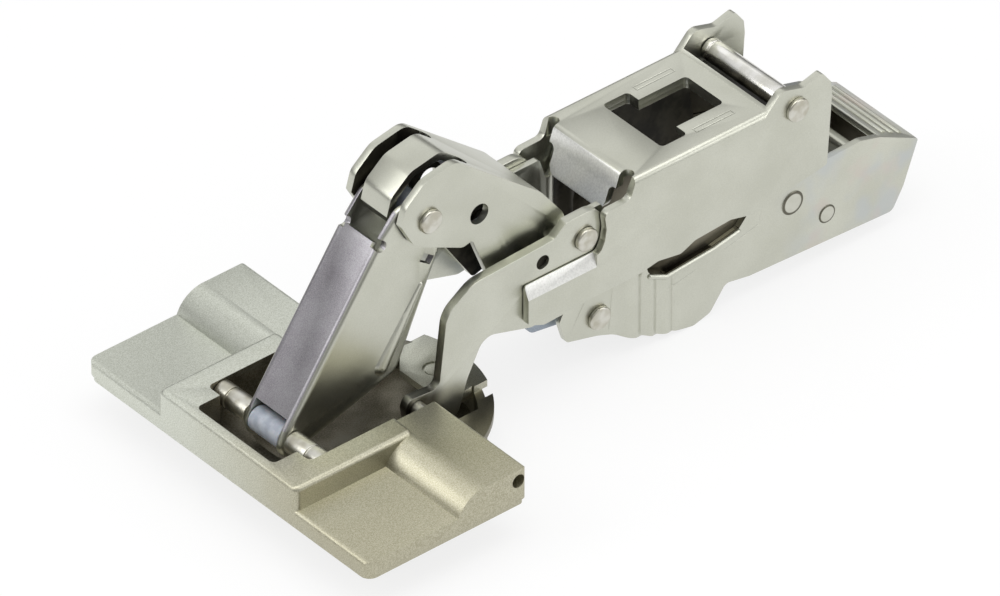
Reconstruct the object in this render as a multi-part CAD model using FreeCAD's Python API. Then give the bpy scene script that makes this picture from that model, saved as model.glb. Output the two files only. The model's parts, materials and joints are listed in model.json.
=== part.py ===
import FreeCAD, Part
import math
import os

V = FreeCAD.Vector
os.makedirs("parts", exist_ok=True)

# Millimetres. The origin is on the door's face at the axis of the round body. X runs from the
# plate towards the cabinet arm, Y along the pins, Z away from the door. Every lever is drawn in
# the XZ plane and pulled out along Y, the same on both sides of the middle.

# Clearances: on a running pin's radius, beside pieces that turn, and round a pin in a slot
run_gap = 0.05
side_gap = 0.1
slot_gap = 0.15

# Half widths and sheet thicknesses, from the cover arm inwards; each piece fits inside the last
arm_half = 9.75
arm_sheet = 1.1
arm_gap = 0.15
lever_sheet = 1.4
lever_outer = arm_half - arm_sheet - arm_gap
channel_sheet = 0.95
channel_front_outer = lever_outer - lever_sheet - side_gap
mid_gap = 0.15
mid_sheet = 1.15
mid_half = channel_front_outer - channel_sheet - mid_gap
mid_inside = mid_half - mid_sheet
link_gap = 0.25
link_half = mid_inside - link_gap
box_gap = 0.5
box_sheet = 1.0
box_half = mid_inside - box_gap
link_cheek = 1.9

# Door plate
plate_length = 60.0
plate_front = 23.5
plate_rear = 4.5
plate_corner = 1.6
plate_rear_corner = 0.8
foot_height = 0.9
foot_inset = 0.25
pad_height = 3.0
strip_height = 6.2
rise_start = 7.6
rise_length = 5.0
edge_round = 0.7
frame_height = 6.8
frame_length = 29.4
frame_round = 0.8
pin_bore = 1.15
pin_bore_depth = 4.0

# Round body and rim under the plate
rim_radius = 18.3
rim_thick = 1.1
cup_radius = 17.4
cup_depth = 5.5
cup_wall = 1.3
cup_taper = 1.6
tongue_half = 2.7
tongue_flare = 6.7
tongue_front = 9.3
tongue_flare_x = 12.7
slot_room = 1.0
tongue_rear_half = lever_outer - lever_sheet - slot_room
slot_outer = lever_outer + slot_room
slot_low = 0.0
dimple_radius = 1.6
dimple_x = 13.1

# Well in the plate
well_front_wall = 1.5
well_front_half = 8.2
well_half = 10.9
well_step_x = 17.8
well_floor = 1.3
well_round = 0.9

# Pivots, seen from the near side
front_pivot = (-15.3, 4.9)
rear_pivot = (3.0, 4.3)
top_pivot = (7.55, 32.3)
cross_pivot = (25.4, 18.1)
arm_pivot = (32.9, 18.6)
low_pivot = (36.6, 2.5)
link_pivot = (31.1, 17.2)
mid_hole = (16.3, 29.2)
mid_hole_radius = 1.6
mid_strip_half = 2.75
web_end_x = 27.0
web_end_z = 22.3
roller_pivot = (69.7, 23.7)
tail_pivot = (70.2, 6.7)
catch_pivot = (76.5, 1.8)

# Turn of each lever for one degree of the arm, used for the running slots
lever_share = 0.36
box_share = 0.248
mid_share = 0.108
link_share = 1.12
arm_open = 70.0
arm_close = 85.0

# Pins
front_pin_radius = 1.2
collar_radius = 1.7
bush_radius = 1.95
top_pin_radius = 1.3
rivet_head = 1.85
head_height = 0.65
cross_pin_radius = 1.1
arm_rivet_radius = 1.6
arm_rivet_head = 1.8
low_pin_radius = 1.5
link_pin_radius = 1.1
roller_pin_radius = 1.0
roller_radius = 1.5
tail_pin_radius = 1.9
catch_pin_radius = 1.45

# Springs
spring_wire = 0.5
spring_turns = 3
spring_gap = 0.25

# Arm
arm_top = 25.4
arm_web_front = 41.0
arm_web_rear = 65.0
lip_top_x = 40.4
lip_low_x = 38.2
lip_bottom = 18.9
lip_shoulder = 23.0
lip_half = 5.8
lip_wide = 7.0
lip_corner = 1.7
relief_radius = 0.9
window_front = 48.4
window_step = 53.0
window_rear = 61.5
window_wide = 6.3
window_narrow = 4.0
arm_low = 9.0
strip_front = 21.8
strip_top = 15.9
strip_ramp = 2.0
skirt_start = 38.5
joggle_length = 2.2
tail_end = 93.0
tail_top = 11.0
tail_low = -3.4
channel_top = arm_top - arm_sheet - side_gap
skirt_low = -5.8


def rounded(points):
    """Closed XZ face from (x, z, radius) corners."""
    count = len(points)
    edges = []
    starts = []
    ends = []
    arcs = []
    for i in range(count):
        x, z, r = points[i]
        here = V(x, 0, z)
        back = V(points[i - 1][0], 0, points[i - 1][1]) - here
        ahead = V(points[(i + 1) % count][0], 0, points[(i + 1) % count][1]) - here
        if r <= 0:
            starts.append(here)
            ends.append(here)
            arcs.append(None)
            continue
        half = back.getAngle(ahead) / 2
        reach = r / math.tan(half)
        reach = min(reach, 0.49 * back.Length, 0.49 * ahead.Length)
        r_used = reach * math.tan(half)
        a = here + V(back).normalize() * reach
        b = here + V(ahead).normalize() * reach
        middle = V(back).normalize() + V(ahead).normalize()
        middle.normalize()
        centre = here + middle * (r_used / math.sin(half))
        arcs.append(centre - middle * r_used)
        starts.append(a)
        ends.append(b)
    for i in range(count):
        if arcs[i] is not None:
            edges.append(Part.Arc(starts[i], arcs[i], ends[i]).toShape())
        nxt = starts[(i + 1) % count]
        if (nxt - ends[i]).Length > 1e-6:
            edges.append(Part.makeLine(ends[i], nxt))
    return Part.Face(Part.Wire(edges))


def slab(points, y0, y1):
    """Pull a rounded XZ outline from y0 to y1."""
    face = rounded(points)
    face.translate(V(0, y0, 0))
    return face.extrude(V(0, y1 - y0, 0))


def rod(at, radius, y0, y1):
    return Part.makeCylinder(radius, y1 - y0, V(at[0], y0, at[1]), V(0, 1, 0))


def block(x0, x1, y0, y1, z0, z1):
    return Part.makeBox(x1 - x0, y1 - y0, z1 - z0, V(x0, y0, z0))


def mirrored(shape):
    return shape.mirror(V(0, 0, 0), V(0, 1, 0))


def both(shape):
    """The shape and its mirror image on the far side, as separate solids."""
    return Part.makeCompound([shape, mirrored(shape)])


def joined(shapes):
    result = shapes[0].fuse(shapes[1:]) if len(shapes) > 1 else shapes[0]
    return result.removeSplitter()


def offset_line(points, depth):
    """Open outline moved sideways by depth, to the right of its direction."""
    out = []
    for i, (x, z, r) in enumerate(points):
        turns = []
        if i > 0:
            turns.append((x - points[i - 1][0], z - points[i - 1][1]))
        if i < len(points) - 1:
            turns.append((points[i + 1][0] - x, points[i + 1][1] - z))
        normals = [(dz / math.hypot(dx, dz), -dx / math.hypot(dx, dz)) for dx, dz in turns]
        nx = sum(n[0] for n in normals) / len(normals)
        nz = sum(n[1] for n in normals) / len(normals)
        scale = depth / (nx * nx + nz * nz)
        out.append((x + nx * scale, z + nz * scale, max(r - depth, 0.3) if r else 0))
    return out


def turned(point, centre, degrees):
    a = math.radians(degrees)
    dx = point[0] - centre[0]
    dz = point[1] - centre[1]
    return (centre[0] + dx * math.cos(a) - dz * math.sin(a),
            centre[1] + dx * math.sin(a) + dz * math.cos(a))


def lever_places(turn):
    """Turned places of the linkage for one turn of the arm."""
    top = turned(top_pivot, front_pivot, box_share * turn)
    arm = turned(arm_pivot, rear_pivot, lever_share * turn)
    return top, arm


def cross_path(turn):
    """Crossing pin as the mid lever sees it."""
    pin = turned(cross_pivot, rear_pivot, lever_share * turn)
    top, arm = lever_places(turn)
    back = turned((pin[0] - top[0], pin[1] - top[1]), (0, 0), -mid_share * turn)
    return (top_pivot[0] + back[0], top_pivot[1] + back[1])


def link_path(turn):
    """Pin of the inner link as the mid lever sees it."""
    top, arm = lever_places(turn)
    low = turned((low_pivot[0] - arm_pivot[0], low_pivot[1] - arm_pivot[1]), (0, 0), turn)
    reach = (link_pivot[0] - low_pivot[0], link_pivot[1] - low_pivot[1])
    pin = turned(reach, (0, 0), link_share * turn)
    place = (arm[0] + low[0] + pin[0] - top[0], arm[1] + low[1] + pin[1] - top[1])
    back = turned(place, (0, 0), -mid_share * turn)
    return (top_pivot[0] + back[0], top_pivot[1] + back[1])


def running_slot(path, radius, y0, y1):
    """Slot that lets an opened pivot's pin run along its path."""
    steps = 10
    turns = [-arm_open + (arm_open + arm_close) * i / steps for i in range(steps + 1)]
    places = [path(t) for t in turns]
    pieces = [rod(p, radius, y0, y1) for p in places]
    for a, b in zip(places, places[1:]):
        span = math.hypot(b[0] - a[0], b[1] - a[1])
        if span < 0.05:
            continue
        nx = -(b[1] - a[1]) / span * radius
        nz = (b[0] - a[0]) / span * radius
        pieces.append(slab([(a[0] + nx, a[1] + nz, 0), (b[0] + nx, b[1] + nz, 0),
                            (b[0] - nx, b[1] - nz, 0), (a[0] - nx, a[1] - nz, 0)], y0, y1))
    return pieces[0].fuse(pieces[1:])


def soften(shape, test, radius):
    """Fillet the edges that pass the test."""
    return shape.makeFillet(radius, [e for e in shape.Edges if test(e)])


def save(name, shape):
    shape.exportStep("parts/" + name + ".step")


# Door side

def wing_profile():
    top = strip_height
    start = -rise_start
    body = [V(-plate_front, 0, foot_height), V(-plate_front, 0, pad_height - edge_round)]
    edges = [Part.makeLine(body[0], body[1])]
    bend = edge_round * 0.293
    edges.append(Part.Arc(body[1], V(-plate_front + bend, 0, pad_height - bend),
                          V(-plate_front + edge_round, 0, pad_height)).toShape())
    foot = V(start, 0, pad_height)
    edges.append(Part.makeLine(V(-plate_front + edge_round, 0, pad_height), foot))
    crest = V(start + rise_length, 0, top)
    knee = V(start + rise_length * 0.36, 0, pad_height + (top - pad_height) * 0.72)
    edges.append(Part.Arc(foot, knee, crest).toShape())
    back = V(plate_rear - edge_round, 0, top)
    edges.append(Part.makeLine(crest, back))
    edges.append(Part.Arc(back, V(plate_rear - bend, 0, top - bend),
                          V(plate_rear, 0, top - edge_round)).toShape())
    edges.append(Part.makeLine(V(plate_rear, 0, top - edge_round), V(plate_rear, 0, foot_height)))
    edges.append(Part.makeLine(V(plate_rear, 0, foot_height), body[0]))
    return Part.Face(Part.Wire(edges))


def rounded_column(x0, x1, y_half, z0, z1, radius):
    return rounded_block(x0, x1, y_half, z0, z1, radius, radius)


def rounded_block(x0, x1, y_half, z0, z1, front_radius, rear_radius):
    column = block(x0, x1, -y_half, y_half, z0, z1)
    column = soften(column, lambda e: upright_at(e, x0), front_radius)
    return soften(column, lambda e: upright_at(e, x1), rear_radius)


def upright_at(edge, x):
    upright = abs(edge.tangentAt(edge.FirstParameter).z) > 0.9
    return upright and abs(edge.CenterOfMass.x - x) < 0.01


def plate_body():
    half = plate_length / 2
    face = wing_profile()
    face.translate(V(0, -half, 0))
    upper = face.extrude(V(0, plate_length, 0))
    column = rounded_block(-plate_front, plate_rear, half, 0, frame_height + 1, plate_corner,
                           plate_rear_corner)
    upper = upper.common(column)
    foot = rounded_block(-plate_front + foot_inset, plate_rear - foot_inset, half - foot_inset,
                         0, foot_height, plate_corner, plate_rear_corner)
    frame = rounded_column(-plate_front, -rise_start + rise_length, frame_length / 2,
                           foot_height, frame_height, 1.0)
    frame = soften(frame, lambda e: abs(e.CenterOfMass.z - frame_height) < 0.01, frame_round)
    return joined([upper, foot, frame])


def tongue():
    """Middle part of the rim behind the plate, between the levers' slots."""
    disc = Part.makeCylinder(rim_radius, rim_thick)
    outline = [(tongue_front, -tongue_half), (tongue_flare_x, -tongue_flare),
               (rim_radius - 1.5, -tongue_rear_half), (rim_radius + 2, -tongue_rear_half),
               (rim_radius + 2, tongue_rear_half), (rim_radius - 1.5, tongue_rear_half),
               (tongue_flare_x, tongue_flare), (tongue_front, tongue_half)]
    corners = [V(x, y, 0) for x, y in outline]
    wire = Part.makePolygon(corners + [corners[0]])
    body = Part.Face(wire).extrude(V(0, 0, rim_thick)).common(disc)
    dimple = Part.makeCylinder(dimple_radius, 0.35, V(dimple_x, 0, rim_thick - 0.35))
    island = Part.makeCylinder(dimple_radius - 0.35, 0.2, V(dimple_x, 0, rim_thick - 0.35))
    return body.cut(dimple.cut(island))


def round_body():
    """Rim and shallow round body, with its hollow cut to fit the well."""
    rim = Part.makeCylinder(rim_radius, rim_thick)
    body = Part.makeCylinder(cup_radius, cup_depth, V(0, 0, -cup_depth))
    lower = [e for e in body.Edges if abs(e.CenterOfMass.z + cup_depth) < 0.01]
    body = body.makeChamfer(cup_taper, lower)
    return rim.fuse(body)


def cup_hollow():
    inside = Part.makeCylinder(cup_radius - cup_wall, cup_depth + frame_height,
                               V(0, 0, -cup_depth + cup_wall))
    return inside.common(block(-cup_radius, rim_radius + 3, -well_half, well_half,
                               -cup_depth, frame_height + 1))


def well_cut():
    front = rounded_column(-plate_front + well_front_wall, -well_step_x + 2, well_front_half,
                           well_floor, frame_height + 1, well_round)
    rear = rounded_column(-well_step_x, plate_rear + 3, well_half, well_floor,
                          frame_height + 1, well_round)
    return front.fuse(rear)


def lever_slots():
    """Slots through the rim and the round body's rear wall for the L levers."""
    near = block(plate_rear - 1, rim_radius + 2, -slot_outer, -tongue_rear_half - 0.6,
                 slot_low, rim_thick + 1)
    middle = block(plate_rear - 1, tongue_flare_x + 0.2, -slot_outer, slot_outer,
                   slot_low, rim_thick + 1)
    return near.fuse([mirrored(near), middle])


def door_plate():
    half = plate_length / 2
    body = joined([plate_body(), round_body()])
    body = body.cut(well_cut()).cut(cup_hollow()).cut(lever_slots())
    body = body.fuse(tongue())
    ridge = block(tongue_flare_x, cup_radius - cup_wall + 0.1, -tongue_rear_half, tongue_rear_half,
                  -1.2, 0.3)
    body = joined([body, ridge])
    reach = well_half + 2.2
    body = body.cut(rod(front_pivot, front_pin_radius, -reach, reach))
    bore = rod(rear_pivot, rear_pin_radius(), -half - 1, half + 1)
    return body.cut(bore)


def rear_pin_radius():
    return pin_bore - 0.1


def front_pin():
    reach = well_half + 2.0
    body = rod(front_pivot, front_pin_radius, -reach, reach)
    return soften(body, lambda e: e.Closed and abs(abs(e.CenterOfMass.y) - reach) < 0.01, 0.3)


def front_collar():
    y0 = box_half + side_gap
    y1 = well_half - side_gap
    body = rod(front_pivot, collar_radius, -y1, -y0)
    groove = rod(front_pivot, collar_radius + 1, -y1 + 2.2, -y1 + 2.5)
    groove = groove.cut(rod(front_pivot, collar_radius - 0.2, -y1, -y0))
    bore = rod(front_pivot, front_pin_radius, -y1 - 1, -y0 + 1)
    return body.cut(groove).cut(bore)


def front_bush():
    length = box_half - box_sheet - side_gap
    body = rod(front_pivot, bush_radius, -length, length)
    body = soften(body, lambda e: e.Closed, 0.25)
    return body.cut(rod(front_pivot, front_pin_radius + run_gap, -length - 1, length + 1))


def rear_pin():
    """Short pin pressed in from the plate's end; its end lies inside the bore."""
    y1 = plate_length / 2 - pin_bore_depth
    y0 = lever_outer - lever_sheet - 0.5
    body = rod(rear_pivot, rear_pin_radius(), -y1, -y0)
    return soften(body, lambda e: e.Closed and e.CenterOfMass.y > -y0 - 0.01, 0.25)


# Box lever

BOX_SIDE = [(-17.6, 4.3, 1.8), (-16.4, 6.9, 0.8), (0.0, 30.6, 1.2), (3.4, 34.6, 2.5), (9.6, 36.0, 3.2),
            (11.6, 31.0, 3.0), (10.9, 25.0, 2.0), (3.2, 7.9, 2.4), (-2.4, 6.2, 1.6), (-12.6, 3.1, 1.2),
            (-16.4, 2.2, 1.6)]
BOX_WEB = [(-16.6, 6.6, 0), (0.0, 30.6, 0)]


def box_lever():
    body = slab(BOX_SIDE, -box_half, box_half)
    inner = offset_line(BOX_WEB, box_sheet)
    dx = BOX_WEB[1][0] - BOX_WEB[0][0]
    dz = BOX_WEB[1][1] - BOX_WEB[0][1]
    span = math.hypot(dx, dz)
    along = (dx / span, dz / span)
    low = (inner[0][0] - along[0] * 8, inner[0][1] - along[1] * 8)
    high = (inner[1][0] + along[0] * 12, inner[1][1] + along[1] * 12)
    across = (along[1] * 40, -along[0] * 40)
    hollow = slab([(low[0], low[1], 0), (high[0], high[1], 0),
                   (high[0] + across[0], high[1] + across[1], 0),
                   (low[0] + across[0], low[1] + across[1], 0)],
                  -(box_half - box_sheet), box_half - box_sheet)
    body = body.cut(hollow)
    cut_top = slab([(0.0, 30.6, 0), (-3.0, 33.0, 0), (4.0, 41.0, 0), (14.0, 41.0, 0), (2.4, 29.0, 0)],
                   -(box_half - box_sheet), box_half - box_sheet)
    body = body.cut(cut_top)
    low_cut = slab([(-15.5, 8.2, 0), (-13.9, 7.3, 0), (-15.4, 2.0, 0), (-19.0, 2.0, 0), (-19.0, 8.2, 0)],
                   -(box_half - box_sheet), box_half - box_sheet)
    body = body.cut(low_cut)
    body = soften(body, lambda e: is_bend(e, BOX_WEB, box_half), 0.85)
    relief = rod((0.4, 30.3), 0.9, -box_half - 1, -box_half + box_sheet + 0.4)
    body = body.cut(relief).cut(mirrored(relief))
    peep = slab([(7.9, 25.7, 0.1), (9.7, 24.4, 0.1), (8.9, 23.3, 0.1), (7.1, 24.6, 0.1)],
                -box_half - 1, -box_half + box_sheet + 0.5)
    body = body.cut(peep).cut(mirrored(peep))
    rib = side_rib((7.3, 20.6), (0.4, 9.9), (0.6, 0.25), (1.9, 0.5))
    body = joined([body, rib, mirrored(rib)])
    bore = rod(front_pivot, front_pin_radius + run_gap, -box_half - 1, box_half + 1)
    top = rod(top_pivot, top_pin_radius + run_gap, -box_half - 1, box_half + 1)
    return body.cut(bore).cut(top)


def is_bend(edge, web, half):
    """Long outer edges where a web meets its sides."""
    middle = edge.CenterOfMass
    if abs(abs(middle.y) - half) > 0.01 or edge.Length < 3:
        return False
    ax, az = web[0][0], web[0][1]
    bx, bz = web[1][0], web[1][1]
    span = math.hypot(bx - ax, bz - az)
    away = abs((bx - ax) * (middle.z - az) - (bz - az) * (middle.x - ax)) / span
    return away < 0.05


def side_rib(a, b, thin, thick):
    """Tapered rib pressed out of the near side wall; thin and thick are (radius, height)."""
    face = -box_half
    start = V(a[0], face + thin[0] - thin[1], a[1])
    end = V(b[0], face + thick[0] - thick[1], b[1])
    span = end - start
    body = Part.makeCone(thin[0], thick[0], span.Length, start, span)
    body = body.fuse([Part.makeSphere(thin[0], start), Part.makeSphere(thick[0], end)])
    keep = block(-30, 40, face - 2, face + 0.2, -10, 50)
    return body.common(keep)


# Mid lever

MID_TOP = [(2.6, 33.4, 0), (3.4, 36.2, 2.4), (6.8, 39.0, 3.0), (12.2, 40.0, 2.6), (27.2, 27.7, 5.0),
           (31.0, 22.6, 2.8), (32.4, 19.0, 0)]
MID_LOW = [(35.9, 17.8, 1.8), (35.2, 13.4, 2.4), (31.0, 10.9, 1.5), (24.0, 8.7, 0.8), (17.9, 18.1, 1.0),
           (15.1, 25.3, 0.5), (13.4, 24.9, 1.5), (5.0, 29.0, 3.4)]


def mid_lever():
    side = MID_TOP + MID_LOW
    body = slab(side, -mid_half, mid_half)
    inner = offset_line(MID_TOP, mid_sheet)
    first = inner[0]
    last = inner[-1]
    hollow = [(inner[0][0], inner[0][1] - 1.0, 0)] + inner[1:-1]
    hollow += [(last[0] + 0.6, last[1] - 1.5, 0), (last[0] + 8, last[1] - 4, 0), (40, -5, 0),
               (-5, 10, 0), (first[0] - 6, first[1] - 3.2, 0), (first[0], first[1] - 3.2, 0)]
    inside = mid_inside
    body = body.cut(slab(hollow, -inside, inside))
    body = body.cut(mid_slots())
    bores = [rod(top_pivot, top_pin_radius + run_gap, -mid_half - 1, mid_half + 1),
             rod(mid_hole, mid_hole_radius, -mid_half - 1, mid_half + 1)]
    body = body.cut(bores)
    slot = running_slot(cross_path, cross_pin_radius + slot_gap, -mid_half - 1, -inside + 0.4)
    link_slot = running_slot(link_path, link_pin_radius + slot_gap, -mid_half - 1, -inside + 0.4)
    body = body.cut([slot, mirrored(slot), link_slot, mirrored(link_slot)])
    body = body.cut(block(web_end_x, 40, -inside, inside, 5, web_end_z))
    for y_side in (-1, 1):
        joggle = Part.makeSphere(1.5, V(28.6, y_side * (mid_half + 1.1), 20.6))
        body = body.cut(joggle)
    return body


def mid_slots():
    """Two slots along the web that leave a curled centre strip and clear the box lever's ears."""
    y0 = mid_strip_half
    y1 = mid_inside
    near = block(-2, 14.6, -y1, -y0, 31.0, 45.0)
    end = Part.makeCylinder((y1 - y0) / 2, 14, V(14.6, -(y0 + y1) / 2, 31.0))
    near = near.fuse(end)
    return [near, mirrored(near)]


def mid_liner():
    """Plastic liner seated under the web, between the side walls."""
    inside = mid_inside - side_gap
    a, b, c = offset_line(MID_TOP[3:6], mid_sheet + 0.02)
    c = (b[0] + (c[0] - b[0]) * 0.55, b[1] + (c[1] - b[1]) * 0.55, 0)
    ux, uz = (b[0] - a[0]), (b[1] - a[1])
    start = (a[0] + ux * 0.28, a[1] + uz * 0.28)
    base = offset_line([(start[0], start[1], 0), (b[0], b[1], 0), (c[0], c[1], 0)], 1.3)
    outline = [(start[0], start[1], 0.3), (b[0], b[1], 3.5), (c[0], c[1], 0.3)]
    outline += [(base[2][0], base[2][1], 0.3), (base[1][0], base[1][1], 2.2),
                (base[0][0], base[0][1], 0.3)]
    return slab(outline, -inside, inside)


def top_pin():
    reach = mid_half + head_height
    shank = rod(top_pivot, top_pin_radius, -reach, reach)
    head = rod(top_pivot, rivet_head, -reach, -mid_half)
    head = soften(head, lambda e: e.Closed and e.CenterOfMass.y < -reach + 0.01, 0.3)
    return joined([shank, head, mirrored(head)])


def top_bush():
    y1 = box_half - box_sheet - side_gap
    body = rod(top_pivot, top_pin_radius + 1.3, -y1, y1)
    waist = rod(top_pivot, top_pin_radius + 2, -y1 + 0.9, y1 - 0.9)
    waist = waist.cut(rod(top_pivot, top_pin_radius + 0.8, -y1, y1))
    body = body.cut(waist)
    return body.cut(rod(top_pivot, top_pin_radius + run_gap, -y1 - 1, y1 + 1))


# L levers

LEVER_SIDE = [(1.1, 4.6, 1.5), (1.5, 2.2, 1.8), (7.4, -0.9, 1.2), (10.4, -0.3, 1.2), (12.0, 4.8, 3.0),
              (15.0, 10.6, 2.4), (23.4, 8.0, 1.6), (30.6, 8.9, 3.0), (37.2, 17.4, 3.6), (35.4, 22.9, 3.0),
              (29.6, 22.8, 0.8), (27.4, 21.0, 0.8), (13.2, 20.4, 4.6), (8.4, 17.2, 4.0), (7.0, 5.6, 1.4),
              (1.7, 6.1, 1.6)]


def l_lever():
    y0 = -lever_outer
    y1 = -lever_outer + lever_sheet
    body = slab(LEVER_SIDE, y0, y1)
    body = body.cut(rod(rear_pivot, rear_pin_radius() + run_gap, y0 - 1, y1 + 1))
    body = body.cut(rod(cross_pivot, cross_pin_radius, y0 - 1, y1 + 1))
    return body.cut(rod(arm_pivot, arm_rivet_radius + run_gap, y0 - 1, y1 + 1))


def crossing_pin():
    """Stub pressed into the lever, its outer end sunk below the lever's face."""
    y0 = -lever_outer + 0.55
    y1 = -mid_inside - slot_gap
    body = rod(cross_pivot, cross_pin_radius, y0, y1)
    return soften(body, lambda e: e.Closed, 0.15)


def arm_rivet():
    """Rivet through the lever and the channel's front wall, with a head outside the lever."""
    y0 = -lever_outer - side_gap
    y1 = -channel_front_outer + channel_sheet
    shank = rod(arm_pivot, arm_rivet_radius, y0 - head_height, y1)
    head = rod(arm_pivot, arm_rivet_head, y0 - head_height, y0)
    head = soften(head, lambda e: e.Closed and e.CenterOfMass.y < y0 - head_height + 0.01, 0.25)
    return joined([shank, head])


# Link between the mid lever and the channel

def about(pivot, places):
    """Outline corners given from a pivot."""
    return [(pivot[0] + x, pivot[1] + z, r) for x, z, r in places]


def inner_link():
    upper = about(link_pivot, [(-2.6, 0.8, 2.0), (-0.4, 3.1, 2.2), (2.9, 1.2, 2.2)])
    lower = about(low_pivot, [(2.7, 2.6, 2.0), (2.6, -1.8, 2.2), (-1.0, -3.0, 2.2), (-3.0, -0.6, 1.4)])
    lobe = about(low_pivot, [(-10.6, 0.6, 1.4), (-10.2, 5.6, 2.0), (-4.6, 7.0, 1.5)])
    body = slab(upper + lower + lobe, -link_half, link_half)
    fork = link_half - link_cheek
    gap = slab(about(low_pivot, [(-6, 5.2, 0), (6, 5.2, 0), (6, -6, 0), (-6, -6, 0)]), -fork, fork)
    body = body.cut(gap)
    body = body.cut(rod(low_pivot, low_pin_radius + run_gap, -link_half - 1, link_half + 1))
    return body.cut(rod(link_pivot, link_pin_radius, -link_half - 1, link_half + 1))


def link_pin():
    reach = mid_half - run_gap
    return rod(link_pivot, link_pin_radius, -reach, reach)


def low_pin():
    reach = channel_front_outer + head_height
    shank = rod(low_pivot, low_pin_radius, -reach, reach)
    head = rod(low_pivot, rivet_head, -reach, -channel_front_outer)
    head = soften(head, lambda e: e.Closed and e.CenterOfMass.y < -reach + 0.01, 0.3)
    return joined([shank, head, mirrored(head)])


def coil(at, inner, leg):
    """Torsion spring: a coil about an axis along Y with two straight legs."""
    radius = inner + spring_wire
    pitch = spring_wire * 2.15
    width = pitch * spring_turns
    helix = Part.makeHelix(pitch, width, radius)
    start = V(radius, 0, 0)
    ring = Part.Wire([Part.makeCircle(spring_wire, start, V(0, 1, pitch / (2 * math.pi * radius)))])
    body = Part.Wire(helix.Edges).makePipeShell([ring], True, True)
    legs = []
    for height, way in ((0.0, -1), (width, 1)):
        root = V(radius, -0.25 * way, height)
        legs.append(Part.makeCylinder(spring_wire + 0.02, leg + 0.25, root, V(0, way, 0)))
    body = body.fuse(legs)
    body.rotate(V(0, 0, 0), V(1, 0, 0), -90)
    body.translate(V(at[0], -width / 2, at[1]))
    return body


# Cabinet arm

ARM_SIDE = [(strip_front, arm_low + 0.8, 0.5), (strip_front, strip_top, 0.5), (34.6, strip_top, 1.0),
            (35.4, 17.6, 0.8), (35.7, 19.4, 0.8), (35.3, 22.3, 1.0), (39.9, 22.4, 1.2),
            (arm_web_front, arm_top, 0), (64.6, arm_top, 0), (67.0, 27.9, 1.6), (71.0, 26.7, 1.6),
            (74.3, 27.6, 0.7), (75.9, 25.4, 0.7), (76.1, 23.4, 0.3), (75.3, 11.6, 0.4), (61.8, 9.4, 1.0),
            (58.0, 10.4, 1.5), (51.6, 10.0, 1.4), (49.0, arm_low - 0.1, 1.4), (45.0, 9.6, 1.4),
            (41.6, arm_low, 1.4), (33.2, arm_low, 1.0), (24.6, arm_low - 0.4, 1.6)]


def outer_arm():
    inside = arm_half - arm_sheet
    body = slab(ARM_SIDE, -arm_half, arm_half)
    hollow = block(strip_front - 1, tail_end, -inside, inside, -10, arm_top - arm_sheet)
    body = body.cut(hollow)
    ears = block(arm_web_rear, tail_end, -inside, inside, -10, arm_top + 5)
    body = body.cut(ears)
    front = block(strip_front - 1, arm_web_front, -inside, inside, -10, arm_top + 5)
    body = body.cut(front)
    body = soften(body, lambda e: arm_bend(e, arm_half), 0.95)
    body = joined([body, front_lip()])
    body = body.cut(arm_window(0.0))
    body = body.cut(ramp_wedge()).cut(mirrored(ramp_wedge()))
    for y_side in (-1, 1):
        centre = V(arm_web_front, y_side * (lip_wide + relief_radius), arm_top - 3)
        body = body.cut(Part.makeCylinder(relief_radius, 4, centre))
    bore = rod(roller_pivot, roller_pin_radius, -arm_half - 1, arm_half + 1)
    return body.cut(bore)


def arm_bend(edge, half):
    middle = edge.CenterOfMass
    level = abs(middle.z - arm_top) < 0.01
    return level and abs(abs(middle.y) - half) < 0.01 and edge.Length > 10


def ramp_wedge():
    """Slope along the top of the raised side strip, from its face down to the L lever."""
    y0 = -arm_half
    corners = [V(strip_front - 1, y0 - 0.1, strip_top - strip_ramp - 0.2),
               V(strip_front - 1, y0 - 0.1, strip_top + 3),
               V(strip_front - 1, y0 + arm_sheet, strip_top + 3),
               V(strip_front - 1, y0 + arm_sheet - 0.15, strip_top)]
    face = Part.Face(Part.makePolygon(corners + [corners[0]]))
    return face.extrude(V(34.0 - strip_front + 1, 0, 0))


def front_lip():
    """Tongue folded down from the web's front edge, narrower below its shoulders."""
    t = arm_sheet
    top = arm_top
    x = arm_web_front + 0.8
    outline = [(x, top, 0), (x, top - t, 0), (lip_top_x + 0.8, top - t, 0.4),
               (lip_low_x + 1.15, lip_bottom, 0.2), (lip_low_x, lip_bottom, 0.2), (lip_top_x, top, 1.6)]
    tongue_plan = block(x - 6, x + 1, -lip_half, lip_half, lip_bottom, top)
    shoulders = block(x - 6, x + 1, -lip_wide, lip_wide, lip_shoulder, top)
    keep = joined([tongue_plan, shoulders])
    keep = soften(keep, lambda e: lip_edge(e, lip_bottom), lip_corner)
    keep = soften(keep, lambda e: lip_edge(e, lip_shoulder), 0.9)
    return slab(outline, -lip_wide, lip_wide).common(keep)


def lip_edge(edge, height):
    """Edge of the lip's plan that runs along X at its narrow width."""
    middle = edge.CenterOfMass
    along = abs(edge.tangentAt(edge.FirstParameter).x) > 0.9
    return along and abs(middle.z - height) < 0.01 and abs(abs(middle.y) - lip_half) < 0.01


def arm_window(grow):
    front = window_front - grow
    z0 = arm_top - 5
    wide = rounded_window(front, window_step + grow, window_wide + grow, z0)
    narrow = rounded_window(front, window_rear + grow, window_narrow + grow, z0)
    return wide.fuse(narrow)


def rounded_window(x0, x1, half, z0):
    return rounded_column(x0, x1, half, z0, arm_top + 1, 0.7)


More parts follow.
